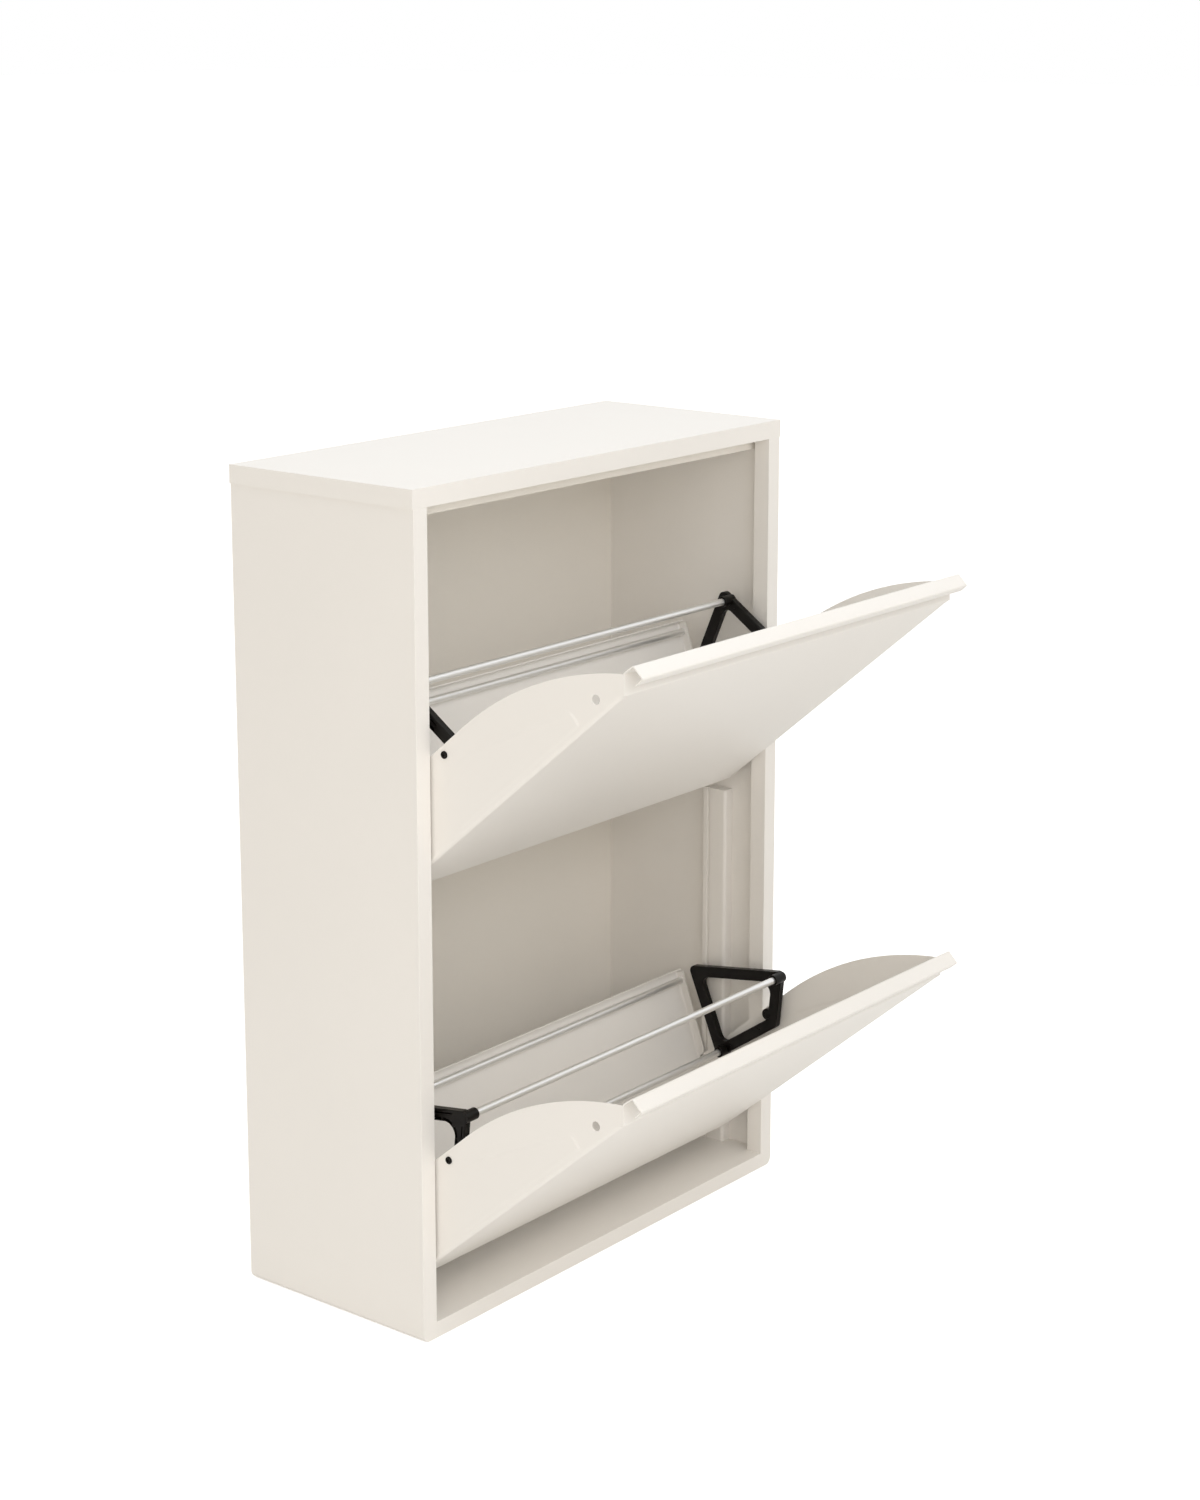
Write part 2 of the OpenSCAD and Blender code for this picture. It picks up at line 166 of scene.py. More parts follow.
class Wire:
    """A socket whose arithmetic adds Math nodes to its material."""

    def __init__(self, graph, socket):
        self.graph = graph
        self.socket = socket

    def _math(self, operation, a, b):
        return self.graph.node("Math", {"operation": operation}, {0: a, 1: b})

    def __add__(self, other):
        return self._math("ADD", self, other)

    def __radd__(self, other):
        return self._math("ADD", other, self)

    def __mul__(self, other):
        return self._math("MULTIPLY", self, other)

    def __rmul__(self, other):
        return self._math("MULTIPLY", other, self)


class Graph:
    """The node tree of a material or world."""

    def __init__(self, owner):
        owner.use_nodes = True
        self.tree = owner.node_tree
        self.tree.nodes.clear()

    def node(self, kind, settings=None, inputs=None, output=0):
        """Adds a shader node, sets it up, feeds its sockets and returns one output as a Wire."""
        made = self.tree.nodes.new("ShaderNode" + kind)
        for key, value in (settings or {}).items():
            setattr(made, key, value)
        for key, value in (inputs or {}).items():
            if isinstance(value, Wire):
                self.tree.links.new(value.socket, made.inputs[key])
            elif made.inputs[key].type == "RGBA" and len(value) == 3:
                made.inputs[key].default_value = (*value, 1)
            else:
                made.inputs[key].default_value = value
        return Wire(self, made.outputs[output]) if made.outputs else None

    def place(self, stretch=(1, 1, 1)):
        """The object's own coordinates in metres, stretched."""
        where = self.node("TexCoord", output="Object")
        return self.node("Mapping", {}, {"Vector": where, "Scale": stretch})

    def noise(self, scale, detail=2, stretch=(1, 1, 1), roughness=0.5):
        """Noise from 0 to 1 with the given number of waves per metre."""
        sizes = {"Scale": scale, "Detail": detail, "Roughness": roughness}
        return self.node("TexNoise", {}, {"Vector": self.place(stretch), **sizes})

    def blend(self, mask, a, b):
        """Colour a where mask is 0 and b where it is 1."""
        return self.node("Mix", {"data_type": "RGBA"}, {0: mask, 6: a, 7: b}, 2)

    def bump(self, height, distance, under=None):
        """A Bump node over an optional earlier one."""
        sizes = {"Height": height, "Distance": distance}
        if under:
            sizes["Normal"] = under
        return self.node("Bump", {}, sizes)

    def finish(self, **sockets):
        """Ends the material in one Principled shader."""
        names = {key.replace("_", " "): value for key, value in sockets.items()}
        shader = self.node("BsdfPrincipled", {}, names, output="BSDF")
        self.node("OutputMaterial", {}, {"Surface": shader})


def tinted(colour, factor):
    """A colour made darker or lighter by a factor."""
    return tuple(min(1.0, part * factor) for part in colour)


def fresh(name):
    """An empty material and its graph."""
    material = bpy.data.materials.new(name)
    return material, Graph(material)


def lacquered_board(graph, colour, gloss, peel):
    """Sprayed lacquer: faint orange peel, cloudy sheen and the odd fine speck."""
    cloud = graph.noise(7, 3)
    peel_height = graph.noise(520, 2)
    fine = graph.noise(2600, 2)
    specks = {"Value": graph.noise(900, 1), "From Min": 0.70, "From Max": 0.78}
    speck = graph.node("MapRange", {}, specks)
    base = graph.blend(cloud, tinted(colour, 0.985), tinted(colour, 1.012))
    base = graph.blend(speck * 0.10, base, tinted(colour, 0.90))
    rough = gloss + 0.05 * cloud + 0.05 * fine
    normal = graph.bump(peel_height, peel)
    normal = graph.bump(fine, peel * 0.35, under=normal)
    graph.finish(
        Base_Color=base,
        Roughness=rough,
        Normal=normal,
        Specular_IOR_Level=0.45,
        Coat_Weight=0.08,
        Coat_Roughness=0.25,
    )


def powder_coating(graph, colour):
    """Baked powder on steel: tight orange peel, satin sheen and slight clouding."""
    cloud = graph.noise(5, 3)
    peel_height = graph.noise(780, 3, roughness=0.55)
    grain = graph.noise(3400, 2)
    base = graph.blend(cloud, tinted(colour, 0.985), tinted(colour, 1.012))
    base = graph.blend(grain, base, tinted(colour, 1.01))
    rough = 0.36 + 0.06 * cloud + 0.08 * grain
    normal = graph.bump(peel_height, 0.00006)
    normal = graph.bump(grain, 0.00001, under=normal)
    graph.finish(
        Base_Color=base,
        Roughness=rough,
        Normal=normal,
        Specular_IOR_Level=0.5,
        Coat_Weight=0.10,
        Coat_Roughness=0.20,
    )


def black_plastic(graph, colour):
    """Moulded black plastic: faint flow marks, a fine spark texture and worn, dusty patches."""
    flow = graph.noise(60, 3, stretch=(1, 0.3, 1))
    spark = graph.noise(2400, 3, roughness=0.6)
    dust = graph.noise(180, 4, roughness=0.7)
    base = graph.blend(flow, colour, tinted(colour, 2.0))
    base = graph.blend(dust * 0.06, base, (0.04, 0.035, 0.03))
    rough = 0.20 + 0.12 * flow + 0.10 * dust
    normal = graph.bump(spark, 0.00003)
    graph.finish(Base_Color=base, Roughness=rough, Normal=normal, Specular_IOR_Level=0.16)


def drawn_rod(graph, colour):
    """Bright drawn steel: fine lines along the bar and soft clouding."""
    lines = graph.noise(2200, 2, stretch=(0.02, 1, 1))
    cloud = graph.noise(30, 2, stretch=(0.2, 1, 1))
    base = graph.blend(cloud, tinted(colour, 0.96), colour)
    rough = 0.34 + 0.08 * cloud + 0.06 * lines
    normal = graph.bump(lines, 0.000006)
    graph.finish(Base_Color=base, Metallic=1.0, Roughness=rough, Normal=normal)


def plated_steel(graph, colour):
    """Zinc plating: pale grey with spangled patches."""
    spangle = graph.node("TexVoronoi", {}, {"Vector": graph.place(), "Scale": 420}, "Distance")
    base = graph.blend(spangle, tinted(colour, 0.8), colour)
    rough = 0.30 + 0.20 * spangle
    normal = graph.bump(graph.noise(1500), 0.00001)
    graph.finish(Base_Color=base, Metallic=1.0, Roughness=rough, Normal=normal)


def natural_nylon(graph, colour):
    """Milky nylon with light passing a little way in."""
    cloud = graph.noise(90, 2)
    base = graph.blend(cloud, tinted(colour, 0.94), colour)
    normal = graph.bump(graph.noise(1900, 2), 0.00002)
    graph.finish(
        Base_Color=base,
        Roughness=0.34 + 0.1 * cloud,
        Normal=normal,
        Subsurface_Weight=0.15,
        Subsurface_Scale=0.002,
    )


def bare_beech(graph, colour):
    """Beech with grain along its length."""
    grain = graph.noise(900, 4, stretch=(1, 1, 0.06))
    base = graph.blend(grain, tinted(colour, 0.75), tinted(colour, 1.15))
    normal = graph.bump(grain, 0.00005)
    graph.finish(Base_Color=base, Roughness=0.55 + 0.15 * grain, Normal=normal)


RECIPES = {
    "lacquered_board": ("satin_white_lacquer", "lacquer", lacquered_board, 0.36, 0.00006),
    # Inner boards: their own pale lacquer, made paler as painted fill light for the shaded interior
    "inner_board": ("pale_inner_lacquer", "inner", lacquered_board, 0.46, 0.00011),
    "powder_coated_sheet": ("white_powder_coating", "coating", powder_coating),
    "black_plastic": ("moulded_black", "plastic", black_plastic),
    "polished_rod": ("bright_drawn_rod", "rod", drawn_rod),
    "white_nylon": ("milky_nylon", "nylon", natural_nylon),
    "zinc_steel": ("zinc_plating", "zinc", plated_steel),
    "beech_dowel": ("bare_beech", "beech", bare_beech),
}
MATERIALS = {}


def finish_of(slot):
    """The material of a slot, made on first use."""
    if slot not in MATERIALS:
        name, colour, recipe, *settings = RECIPES[slot]
        MATERIALS[slot], graph = fresh(name)
        recipe(graph, tuple(getattr(bpy.context.scene.shoe_finish, colour)), *settings)
    return MATERIALS[slot]


# ------------------------------ outlines


def unit_left(a, b):
    """The unit vector a quarter turn to the left of the way from a to b."""
    way = (b - a).normalized()
    return Vector((-way.y, way.x))


def towards(angle):
    """The unit vector at an angle in radians."""
    return Vector((math.cos(angle), math.sin(angle)))


def arc(centre, radius, start, end, steps):
    """Points on an arc; the angles are in radians."""
    return [
        centre + radius * towards(start + (end - start) * k / steps) for k in range(steps + 1)
    ]


def filleted(points, radii, steps=6):
    """An open path whose inner corners are rounded to the given radii."""
    path = [points[0]]
    for before, corner, after, radius in zip(points, points[1:], points[2:], radii):
        come = (corner - before).normalized()
        go = (after - corner).normalized()
        turn = math.atan2(come.x * go.y - come.y * go.x, come.dot(go))
        reach = radius * math.tan(abs(turn) / 2)
        side = Vector((-come.y, come.x)) * math.copysign(1, turn)
        centre = corner - come * reach + side * radius
        first = math.atan2(-side.y, -side.x)
        path += arc(centre, radius, first, first + turn, steps)
    return path + [points[-1]]


def normals(path):
    """The unit left normal at each point of a path."""
    found = []
    for k in range(len(path)):
        before = unit_left(path[max(k - 1, 0)], path[max(k, 1)])
        after = unit_left(path[min(k, len(path) - 2)], path[min(k + 1, len(path) - 1)])
        found.append((before + after).normalized())
    return found


def corner_turn(corners, k, reach):
    """The centre, first angle and turn of corner k's rounding.

    The centre lies reach inside both of the corner's sides."""
    before = unit_left(corners[k - 1], corners[k])
    after = unit_left(corners[k], corners[(k + 1) % len(corners)])
    centre = corners[k] + reach * (before + after) / (1 + before.dot(after))
    turn = math.atan2(before.x * after.y - before.y * after.x, before.dot(after))
    return centre, math.atan2(-before.y, -before.x), turn


def rounded_loop(corners, radii, inset, steps):
    """A closed loop round counter-clockwise corners, moved inwards by inset."""
    loop = []
    for k, radius in enumerate(radii):
        centre, first, turn = corner_turn(corners, k, radius)
        loop += arc(centre, radius - inset, first, first + turn, steps)
    return loop


def ring(centre, radius, count):
    """A closed round loop."""
    return arc(centre, radius, 0, 2 * math.pi * (count - 1) / count, count - 1)


# ------------------------------ mesh pieces


class Shell:
    """Collects points and faces in (x, y, z) metres."""

    def __init__(self):
        self.points = []
        self.faces = []

    def add_row(self, points):
        """Adds points and returns their indices."""
        start = len(self.points)
        self.points += points
        return list(range(start, len(self.points)))

    def add_loop(self, outline, x):
        """Adds an outline given as (y, z) at the distance x and returns its indices."""
        return self.add_row([(x, p.x, p.y) for p in outline])

    def band(self, a, b, closed=True):
        """Faces between two rows of the same length; they may meet at points they share."""
        last = len(a) if closed else len(a) - 1
        for k in range(last):
            n = (k + 1) % len(a)
            face = tuple(dict.fromkeys((a[k], a[n], b[n], b[k])))
            if len(face) > 2:
                self.faces.append(face)

    def sleeve(self, rows, closed=True):
        """Faces between each row and the next."""
        for a, b in zip(rows, rows[1:]):
            self.band(a, b, closed)

    def cap(self, *loops):
        """A flat face with holes: the first loop is its edge and the others its holes."""
        flat = [[Vector((*self.points[k][1:], 0)) for k in loop] for loop in loops]
        order = [k for loop in loops for k in loop]
        for triangle in tessellate_polygon(flat):
            self.faces.append(tuple(order[k] for k in triangle))

    def mirrored(self, side):
        """The shell on the right for side 1 and on the left for side -1."""
        if side < 0:
            self.points = [(-x, y, z) for x, y, z in self.points]
        return self

    def join(self, other):
        """Adds another shell's points and faces."""
        start = len(self.points)
        self.points += other.points
        self.faces += [tuple(start + k for k in face) for face in other.faces]

    def join_both(self, make, *sizes):
        """Adds the shell that make builds from sizes on the left and on the right."""
        for side in SIDES.values():
            self.join(make(*sizes).mirrored(side))


def lathe(profile, centre=(0, 0), segments=40, shape=lambda turn, k: 1):
    """A shell turned about a line along X. profile is a list of (x, radius).

    A profile that starts and ends on the axis is closed there, any other is joined end to end.
    shape(turn, k) scales the radius of profile point k."""
    shell = Shell()
    hub = Vector(centre)
    turns = [2 * math.pi * n / segments for n in range(segments)]
    rows = []
    for k, (x, radius) in enumerate(profile):
        if radius:
            outline = [hub + radius * shape(turn, k) * towards(turn) for turn in turns]
            rows.append(shell.add_loop(outline, x))
        else:
            rows.append(shell.add_loop([hub], x) * segments)
    shell.sleeve(rows)
    if profile[0][1] and profile[-1][1]:
        shell.band(rows[-1], rows[0])
    return shell


def tube(x0, x1, outer, inner, centre=(0, 0), chamfer=0.6 * MM, segments=40):
    """A round tube along X with chamfered outer edges; an inner radius of 0 makes it solid."""
    profile = [
        (x0, inner),
        (x0, outer - chamfer),
        (x0 + chamfer, outer),
        (x1 - chamfer, outer),
        (x1, outer - chamfer),
        (x1, inner),
    ]
    return lathe(profile, centre, segments)


def clean(mesh_data, whole=False):
    """Merges doubled points, drops empty faces and turns every face outwards.

    whole also joins the triangles of each flat side into one face."""
    work = bmesh.new()
    work.from_mesh(mesh_data)
    bmesh.ops.remove_doubles(work, verts=work.verts, dist=1e-6)
    bmesh.ops.dissolve_degenerate(work, dist=1e-6, edges=work.edges)
    if whole:
        flat = math.radians(0.5)
        bmesh.ops.dissolve_limit(work, angle_limit=flat, verts=work.verts, edges=work.edges)
    bmesh.ops.recalc_face_normals(work, faces=work.faces)
    work.to_mesh(mesh_data)
    work.free()


def shade(obj, angle=35):
    """Smooth shading that keeps edges sharper than angle, with flat faces kept flat."""
    obj.data.shade_smooth()
    obj.data.set_sharp_from_angle(angle=math.radians(angle))
    weighted = obj.modifiers.new("flat_faces", "WEIGHTED_NORMAL")
    weighted.keep_sharp = True
    weighted.weight = 60


def slot_of(node):
    """The record's material slot of a CAD node."""
    for part in frame["record"]["subparts"]:
        if part["node"] == node:
            return part["material_slot"]
    raise ValueError(f"the record has no sub-part named {node}")


def body_of(node):
    """The body that a CAD node belongs to."""
    for body, members in frame["record"]["behaviour"]["bodies"].items():
        if node in members:
            return body
    raise ValueError(f"no body holds {node}")


def added(name, data):
    """A new object in the scene."""
    obj = bpy.data.objects.new(name, data)
    bpy.context.scene.collection.objects.link(obj)
    return obj


def coat(mesh_data, slot):
    """Gives a mesh the material of a slot."""
    mesh_data.materials.clear()
    mesh_data.materials.append(finish_of(slot))


def settled(node, mesh_data):
    """A piece with its finish and body that stands for its CAD node."""
    coat(mesh_data, slot_of(node))
    obj = added(node + "_finished", mesh_data)
    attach(obj, body_of(node))
    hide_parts(node)
    return obj


def piece(shell, node, matrix=None, angle=35):
    """Turns a shell into the finished piece of a CAD node."""
    mesh_data = bpy.data.meshes.new(node)
    mesh_data.from_pydata(shell.points, [], shell.faces)
    if matrix:
        mesh_data.transform(matrix)
    clean(mesh_data)
    shade(settled(node, mesh_data), angle)


def eased_board(node, radius, segments=3):
    """A copy of a board with its flat faces made whole and its edges rounded over."""
    mesh_data = frame["nodes"][node].data.copy()
    clean(mesh_data, whole=True)
    obj = settled(node, mesh_data)
    rounding = obj.modifiers.new("rounded_edges", "BEVEL")
    rounding.width = radius
    rounding.segments = segments
    rounding.limit_method = "ANGLE"
    rounding.angle_limit = math.radians(40)
    shade(obj)


# ------------------------------ pocket geometry

# Places in a shut pocket's section, as (y, z) from the hinge line
FLOOR_BEND = Vector((5, -56)) * MM
LIP_REAR = 7.5 * MM
LIP_FALL = 1.9 * MM
RECESS_REAR = Vector((8.4, 341.3)) * MM
FINGER_HOLE = Vector((7, 295.5)) * MM
WEDGE = [
    Vector(corner) * MM for corner in ((-3.5, 264), (-3.5, 48), (38, 52), (56, 112), (16, 263))
]
WEDGE_ROUNDS = [radius * MM for radius in (5, 14, 26, 45, 7)]
WEDGE_TOP = WEDGE[0].y
WEDGE_FOOT = WEDGE[1].y

# Rounding of the lip's front and rear, the recess and the face's top edge
LIP_ROUNDS = [radius * MM for radius in (1.4, 2.0, 2.5, 1.0)]
FOLD_START = 3.5 * MM
REAR_EDGE_ROUND = 1.8 * MM
FINGER_HOLE_RADIUS = 5 * MM
PIVOT_HOLE_RADIUS = 3.1 * MM
PIN_RADIUS = 3 * MM


def hanging(level):
    """The matrix from a pocket's shut position about its hinge line to where it is at rest."""
    joint = JOINTS[level + "_pocket_tilt"]
    opened = math.radians(-joint["range_deg"][0])
    return Matrix.Translation(joint["pos_m"]) @ Matrix.Rotation(opened, 4, "X")


def pocket_piece(shell, level, name, angle=35):
    """Turns a shell built in the shut position into the finished piece of a pocket's node."""
    piece(shell, f"{level}_{name}", hanging(level), angle)


def shut_place(level, world):
    """The (y, z) of a world point in the pocket's shut position, from the hinge line."""
    local = hanging(level).inverted() @ Vector(world)
    return Vector((local.y, local.z))


class PocketSection:
    """A shut pocket's sheet in section, as (y, z) from the hinge line.

    front is the path of the sheet's middle from the lip down to the floor."""

    def __init__(self):
        size = bpy.context.scene.shoe_pocket
        self.size = size
        self.half = size.sheet / 2
        self.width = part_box("upper_front_panel")[1].x
        face = -size.face_inset + self.half
        corners = [
            Vector((face, size.lip_flange)),
            Vector((face, size.top - self.half)),
            Vector((LIP_REAR, size.top - LIP_FALL)),
            RECESS_REAR,
            Vector((face, size.face_top)),
            Vector((face, FLOOR_BEND.y)),
        ]
        fillet_steps = 6
        path = filleted(corners, LIP_ROUNDS, fillet_steps)
        # The side plates' edges start where the rounding at the recess's rear ends
        self.recess_at = 1 + 2 * (fillet_steps + 1) + fillet_steps
        # Rows between which the side edges begin to fold back
        rows = [Vector((face, size.face_top - drop * MM)) for drop in (4, 6, 8)]
        path = path[:-1] + rows + path[-1:]
        turn = math.radians(90) + size.floor_slope
        self.front = path[:-1] + arc(FLOOR_BEND, size.bend_round, math.pi, math.pi + turn, 16)
        self.along = towards(size.floor_slope)
        self.up = Vector((-self.along.y, self.along.x))
        self.start = self.front[-1]

    def fold(self, point):
        """How far the side edges are folded back here: 0 on the lip and recess, 1 on the face."""
        top = self.size.face_top - FOLD_START
        share = (top - point.y) / FOLD_START
        return max(0.0, min(1.0, share)) ** 0.5 if point.x < 0 or point.y < 0 else 0.0

    def floor_at(self, distance):
        """A point of the floor sheet's middle, so far behind its start."""
        return self.start + self.along * distance


def sheet_shell(path, folds, width, sheet, corner, flanges=None):
    """A bent sheet swept along X, whose side edges fold back round the corner radius.

    folds gives each row's share of the fold and flanges what stands on past it."""
    shell = Shell()
    steps = 6
    turns = [math.pi / 2 * k / steps for k in range(steps + 1)]
    flanges = flanges or [0] * len(path)
    rows = {"outer": [], "inner": []}
    for point, normal, fold, flange in zip(path, normals(path), folds, flanges):
        for skin in rows:
            depth = 0 if skin == "outer" else sheet
            edge = []
            for turn in turns:
                x = width - corner + (corner - depth * fold) * math.sin(turn)
                inward = depth + fold * (corner - depth) * (1 - math.cos(turn))
                edge.append((x, inward))
            edge.append((edge[-1][0], edge[-1][1] + flange))
            row = [(-x, d) for x, d in reversed(edge)] + edge
            places = [(x, point + normal * (inward - sheet / 2)) for x, inward in row]
            rows[skin].append(shell.add_row([(x, p.x, p.y) for x, p in places]))
    for skin in rows.values():
        shell.sleeve(skin, closed=False)
    for end in (0, -1):
        shell.band(rows["outer"][end], rows["inner"][end], closed=False)
        outer = [row[end] for row in rows["outer"]]
        inner = [row[end] for row in rows["inner"]]
        shell.band(outer, inner, closed=False)
    return shell


def front_sheet_shell(section):
    """The front sheet with its lip, finger recess, face and lower bend."""
    size = section.size
    folds = [section.fold(p) for p in section.front]
    return sheet_shell(section.front, folds, section.width, size.sheet, size.corner_round)


def floor_sheet_shell(section):
    """The floor sheet with a turned-up rear edge and an upstanding flange at each end."""
    size = section.size
    # The end flanges rise just behind the side plates
    free = (size.plate_reach - section.start.x) / section.along.x
    stations = [0, free - 1 * MM, free + 2 * MM, free + 8 * MM]
    stations += [size.floor_length - 10 * MM, size.floor_length - 3 * MM]
    flat = [section.floor_at(station) for station in stations]
    rear = section.floor_at(size.floor_length)
    lifted = rear + section.up * size.edge_turn
    tail = filleted([flat[-1], rear, lifted], [REAR_EDGE_ROUND], 5)[1:]
    stand = size.end_flange - size.corner_round
    flanges = [0, 0, stand * 0.6, stand, stand, stand] + [0] * len(tail)
    folds = [1] * len(flat) + [0] * len(tail)
    return sheet_shell(flat + tail, folds, section.width, size.sheet, size.corner_round, flanges)


def side_plate_outline(section):
    """A side plate's edge: down the front, along the floor, up the rear and over to the recess."""
    size = section.size
    front = section.front[section.recess_at :]
    front_normals = normals(section.front)[section.recess_at :]
    outline = []
    for point, normal in zip(front, front_normals):
        fold = section.fold(point)
        depth = max(size.sheet, fold * size.corner_round)
        outline.append(point + normal * (depth - section.half))
    top = outline[0]
    lift = section.up * (size.corner_round - section.half)
    floor_start = section.start + lift
    reach = (size.plate_reach - floor_start.x) / section.along.x
    outline.append(floor_start + section.along * reach)
    run = size.plate_reach - top.x
    rise = top.y - size.plate_arc
    radius = (run * run + rise * rise) / (2 * run)
    centre = Vector((size.plate_reach - radius, size.plate_arc))
    outline += arc(centre, radius, 0, math.asin(rise / radius), 28)[:-1]
    return outline


def side_plate_shell(section, level, side):
    """A side plate with its holes and its pressed wedge, which thins out downwards."""
    size = section.size
    shell = Shell()
    outline = side_plate_outline(section)
    pivot = shut_place(level, JOINTS[level + "_divider_turn"]["pos_m"])
    holes = [
        ring(FINGER_HOLE, FINGER_HOLE_RADIUS, 36),
        ring(pivot, PIVOT_HOLE_RADIUS, 20),
        ring(Vector((0, 0)), PIN_RADIUS, 20),
    ]
    slope_steps = 6
    skins = []
    for depth in (0, size.sheet):
        x = section.width - depth
        edge = shell.add_loop(outline, x)
        cuts = [shell.add_loop(hole, x) for hole in holes]
        steps = []
        for k in range(slope_steps + 1):
            share = k / slope_steps
            rise = size.press_lift * share * share * (3 - 2 * share)
            loop = rounded_loop(WEDGE, WEDGE_ROUNDS, size.press_slope * share, 10)
            heights = [(p.y - WEDGE_FOOT) / (WEDGE_TOP - WEDGE_FOOT) for p in loop]
            steps.append(shell.add_row([(x + rise * h, p.x, p.y) for h, p in zip(heights, loop)]))
        shell.cap(edge, *cuts, steps[0])
        shell.sleeve(steps)
        shell.cap(steps[-1])
        skins.append([edge] + cuts)
    for a, b in zip(*skins):
        shell.band(a, b)
    return shell.mirrored(side)


# ------------------------------ divider geometry

LOOP = [Vector(corner) * MM for corner in ((0.5, -11.5), (92, -2), (61.5, 92.5), (-41.5, 28.5))]
WINDOW_ROUNDS = [radius * MM for radius in (12, 8, 9, 13)]
REAR_ROD = Vector((85.5, -4)) * MM
FRONT_ROD = Vector((-43, 26.5)) * MM
ROD_BORE = 4.02 * MM
ROD_SEAT = 6 * MM
SCREW_RADIUS = 3 * MM
SCREW_BORE = 3.05 * MM
SPACER_RADIUS = 7 * MM
NUT_RADIUS = 5 * MM
NUT_DEPTH = 3 * MM
BOSS_STAND = 0.3 * MM
BOSS_RIM = 1.2 * MM
EDGE_GROOVE = 4 * MM
SLACK = 0.1 * MM


def box_centre(node):
    """The middle of a CAD node's box."""
    low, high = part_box(node)
    return (low + high) / 2


def divider_matrix(level):
    """The matrix from a bracket's own frame to its place; the upper divider is turned over."""
    turned = -1 if level == "upper" else 1
    pivot = Vector(JOINTS[level + "_divider_turn"]["pos_m"])
    arm = box_centre(level + "_rear_rod") - pivot
    own = math.atan2(REAR_ROD.y * turned, REAR_ROD.x)
    turn = math.atan2(arm.z, arm.y) - own
    spin = Matrix.Rotation(turn, 4, "X")
    return Matrix.Translation(pivot) @ spin @ Matrix.Diagonal((1, 1, turned, 1))


def side_point(k, share, inset):
    """A point a share of the way along side k of the loop, moved inwards by inset."""
    a, b = LOOP[k], LOOP[(k + 1) % len(LOOP)]
    return a + (b - a) * share + unit_left(a, b) * inset


def corner_arc(k, inset, start, end, steps=6):
    """Part of the rounding of the loop's corner k, from share start to share end of its turn."""
    reach = bpy.context.scene.shoe_divider.bar_width / 2 + WINDOW_ROUNDS[k]
    centre, first, turn = corner_turn(LOOP, k, reach)
    return arc(centre, reach - inset, first + turn * start, first + turn * end, steps)


def groove_paths(size):
    """The middle lines and widths of the moulded grooves in a bracket's outer face."""
    reach = size.bar_width / 2
    inner = reach - size.rim - size.inner_groove / 2
    outer = EDGE_GROOVE - reach
    along_window = {
        0: ((0.30, 0.50), (0.53, 0.76)),
        1: ((0.20, 0.48), (0.51, 0.78)),
        2: ((0.18, 0.46), (0.49, 0.77)),
        3: ((0.455, 0.60),),
    }
    along_edge = {
        0: ((0.30, 0.50), (0.53, 0.88)),
        1: ((0.10, 0.48), (0.51, 0.90)),
        2: ((0.10, 0.46), (0.49, 0.90)),
        3: ((0.16, 0.60),),
    }
    paths = []
    for spans, inset, width in (
        (along_window, inner, size.inner_groove),
        (along_edge, outer, size.outer_groove),
    ):
        for k, parts in spans.items():
            for start, end in parts:
                line = [side_point(k, start + (end - start) * n / 4, inset) for n in range(5)]
                paths.append((line, width))
    for k in (1, 2, 3):
        for start, end in ((0.0, 0.44), (0.56, 1.0)):
            paths.append((corner_arc(k, inner, start, end), size.inner_groove))
    return paths


def crossing(outside, inside, radius):
    """Where the way from a point outside a circle about the origin to one inside meets it."""
    way = inside - outside
    b = outside.dot(way)
    a, c = way.dot(way), outside.dot(outside) - radius * radius
    return outside + way * (-b - math.sqrt(b * b - a * c)) / a


def window_loop(size, inset, steps):
    """The window's edge, led round the boss that stands into it at the pivot."""
    reach = size.bar_width / 2
    rounds = [reach + r for r in WINDOW_ROUNDS]
    hidden = sum(p.length < size.boss_radius for p in rounded_loop(LOOP, rounds, reach, steps))
    loop = rounded_loop(LOOP, rounds, reach - inset, steps)
    radius = size.boss_radius - inset
    start = crossing(loop[-1], loop[0], radius)
    end = crossing(loop[hidden], loop[hidden - 1], radius)
    first, last = math.atan2(start.y, start.x), math.atan2(end.y, end.x)
    last -= 2 * math.pi * (last > first)
    return arc(Vector((0, 0)), radius, first, last, 14) + loop[hidden:]


def strip_sides(path, width):
    """The left and right edges of a strip along a path."""
    sides = normals(path)
    left = [p + n * width / 2 for p, n in zip(path, sides)]
    right = [p - n * width / 2 for p, n in zip(path, sides)]
    return left, right


